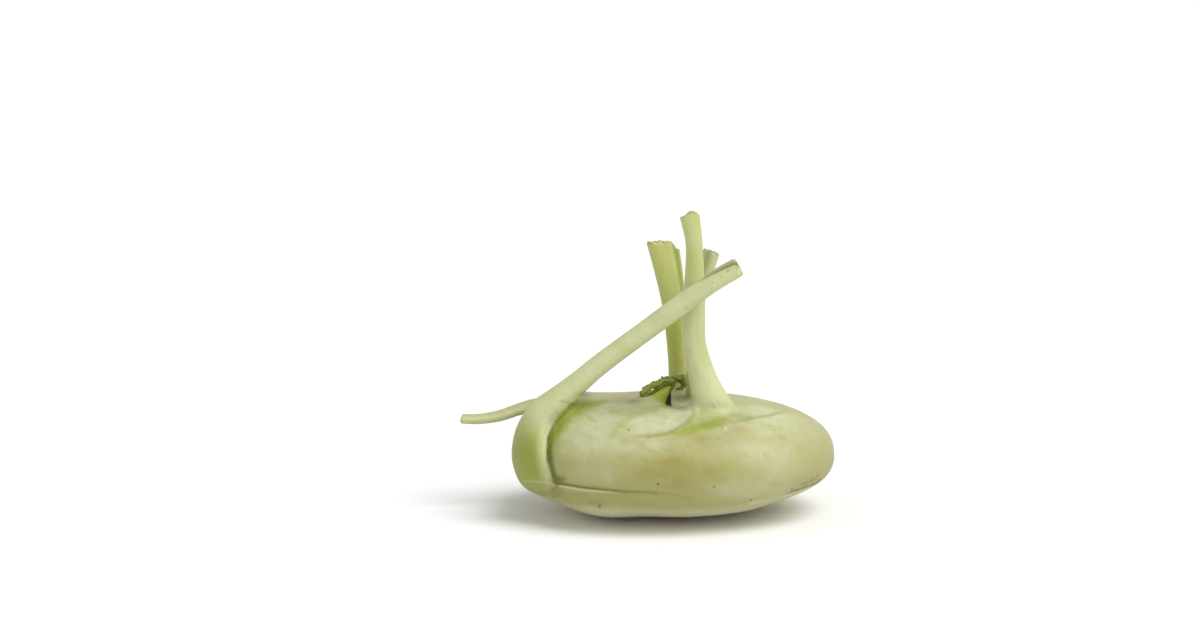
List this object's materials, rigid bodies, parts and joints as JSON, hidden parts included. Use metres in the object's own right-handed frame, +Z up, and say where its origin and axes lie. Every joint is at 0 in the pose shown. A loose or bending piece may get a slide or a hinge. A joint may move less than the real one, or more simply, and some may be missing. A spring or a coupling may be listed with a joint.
{
  "type": "kohlrabi",
  "caption": "Kohlrabi as bought: flattened pale green swollen stem resting on its trimmed root, with cut leaf stalks and a tuft of curled young leaves.",
  "frame": {"origin": "middle of the trimmed root disc that the bulb rests on", "axes": "+Z up through the crown, -Y towards the front where the tall stalk rises, -X towards the sheath of the leaning stalk"},
  "size_m": [0.1161, 0.0864, 0.0956],
  "materials": {
    "flesh": "satin",
    "stalk": "satin",
    "young_leaf": "satin"
  },
  "bodies": {
    "root": {"bulb": "flesh", "leaf_stalk_left": "stalk", "leaf_stalk_front": "stalk", "leaf_stalk_back": "stalk", "leaf_stalk_rear": "stalk", "leaf_stalk_low": "stalk", "young_leaves": "young_leaf"}
  },
  "joints": []
}
